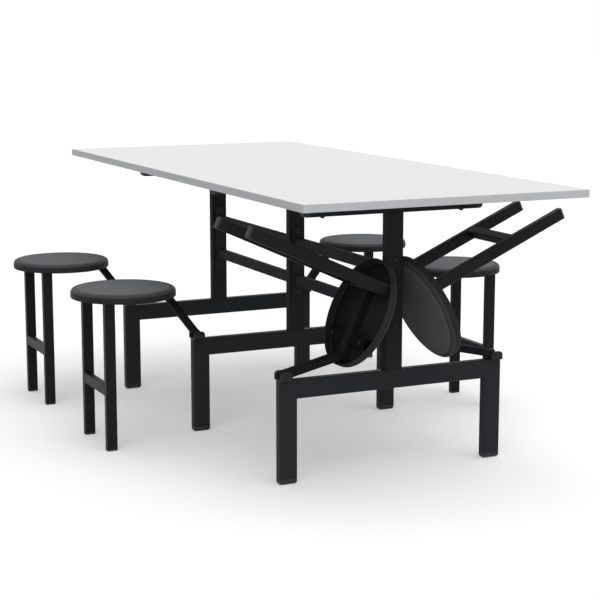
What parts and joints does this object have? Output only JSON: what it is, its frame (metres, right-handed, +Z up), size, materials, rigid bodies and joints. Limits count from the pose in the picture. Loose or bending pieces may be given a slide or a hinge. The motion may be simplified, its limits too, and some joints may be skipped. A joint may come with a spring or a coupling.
{
  "type": "dining table with fold-up stools",
  "caption": "Rectangular dining table on tube cross frames, with round stools hinged to the frame that fold up under the top against the posts",
  "frame": {"origin": "on the floor under the middle of the table top", "axes": "X along the table with the folded pair of stools at +X, Y across the table, Z up"},
  "size_m": [1.8, 1.366, 0.76],
  "materials": {
    "top_laminate": "smooth light grey laminate on board",
    "top_edge": "light grey plastic edge band",
    "frame_black": "black powder coat, satin",
    "stool_black": "black powder coat, satin",
    "hinge_black": "black powder coat, satin",
    "fastener_black": "blackened steel",
    "seat_plastic": "fine-grained black moulded plastic",
    "black_plastic": "black moulded plastic"
  },
  "bodies": {
    "table_frame": {"tabletop_board": "top_laminate", "tabletop_edge_band": "top_edge", "bearer_front": "frame_black", "post_front": "frame_black", "crossbeam_front": "frame_black", "legs_front": "frame_black", "bearer_middle": "frame_black", "post_middle": "frame_black", "crossbeam_middle": "frame_black", "legs_middle": "frame_black", "bearer_rear": "frame_black", "post_rear": "frame_black", "crossbeam_rear": "frame_black", "legs_rear": "frame_black", "bearer_end_caps": "black_plastic", "leg_feet": "black_plastic", "bearer_bolts": "fastener_black", "hinge_brackets": "hinge_black", "hinge_pins": "hinge_black", "rails_front": "frame_black", "rails_rear": "frame_black", "rail_end_plates": "frame_black", "post_bolts": "fastener_black", "post_nuts": "fastener_black"},
    "stool_front_left": {"stool_front_left_seat": "seat_plastic", "stool_front_left_arm": "stool_black", "stool_front_left_seat_bars": "stool_black", "stool_front_left_legs": "stool_black", "stool_front_left_rungs": "stool_black", "stool_front_left_feet": "black_plastic"},
    "stool_front_right": {"stool_front_right_seat": "seat_plastic", "stool_front_right_arm": "stool_black", "stool_front_right_seat_bars": "stool_black", "stool_front_right_legs": "stool_black", "stool_front_right_rungs": "stool_black", "stool_front_right_feet": "black_plastic"},
    "stool_middle_left": {"stool_middle_left_seat": "seat_plastic", "stool_middle_left_arm": "stool_black", "stool_middle_left_seat_bars": "stool_black", "stool_middle_left_legs": "stool_black", "stool_middle_left_rungs": "stool_black", "stool_middle_left_feet": "black_plastic"},
    "stool_middle_right": {"stool_middle_right_seat": "seat_plastic", "stool_middle_right_arm": "stool_black", "stool_middle_right_seat_bars": "stool_black", "stool_middle_right_legs": "stool_black", "stool_middle_right_rungs": "stool_black", "stool_middle_right_feet": "black_plastic"},
    "stool_rear_left": {"stool_rear_left_seat": "seat_plastic", "stool_rear_left_arm": "stool_black", "stool_rear_left_seat_bars": "stool_black", "stool_rear_left_legs": "stool_black", "stool_rear_left_rungs": "stool_black", "stool_rear_left_feet": "black_plastic"},
    "stool_rear_right": {"stool_rear_right_seat": "seat_plastic", "stool_rear_right_arm": "stool_black", "stool_rear_right_seat_bars": "stool_black", "stool_rear_right_legs": "stool_black", "stool_rear_right_rungs": "stool_black", "stool_rear_right_feet": "black_plastic"}
  },
  "joints": [
    {"name": "stool_front_left_fold", "type": "hinge", "parent": "table_frame", "child": "stool_front_left", "pos_m": [0.6, -0.313, 0.287], "axis": [-1, 0, 0], "range_deg": [-114.07, 0]},
    {"name": "stool_front_right_fold", "type": "hinge", "parent": "table_frame", "child": "stool_front_right", "pos_m": [0.6, 0.313, 0.287], "axis": [1, 0, 0], "range_deg": [-114.07, 0]},
    {"name": "stool_middle_left_fold", "type": "hinge", "parent": "table_frame", "child": "stool_middle_left", "pos_m": [0, -0.313, 0.287], "axis": [-1, 0, 0], "range_deg": [0, 114.07]},
    {"name": "stool_middle_right_fold", "type": "hinge", "parent": "table_frame", "child": "stool_middle_right", "pos_m": [0, 0.313, 0.287], "axis": [1, 0, 0], "range_deg": [0, 114.07]},
    {"name": "stool_rear_left_fold", "type": "hinge", "parent": "table_frame", "child": "stool_rear_left", "pos_m": [-0.6, -0.313, 0.287], "axis": [-1, 0, 0], "range_deg": [0, 114.07]},
    {"name": "stool_rear_right_fold", "type": "hinge", "parent": "table_frame", "child": "stool_rear_right", "pos_m": [-0.6, 0.313, 0.287], "axis": [1, 0, 0], "range_deg": [0, 114.07]}
  ]
}
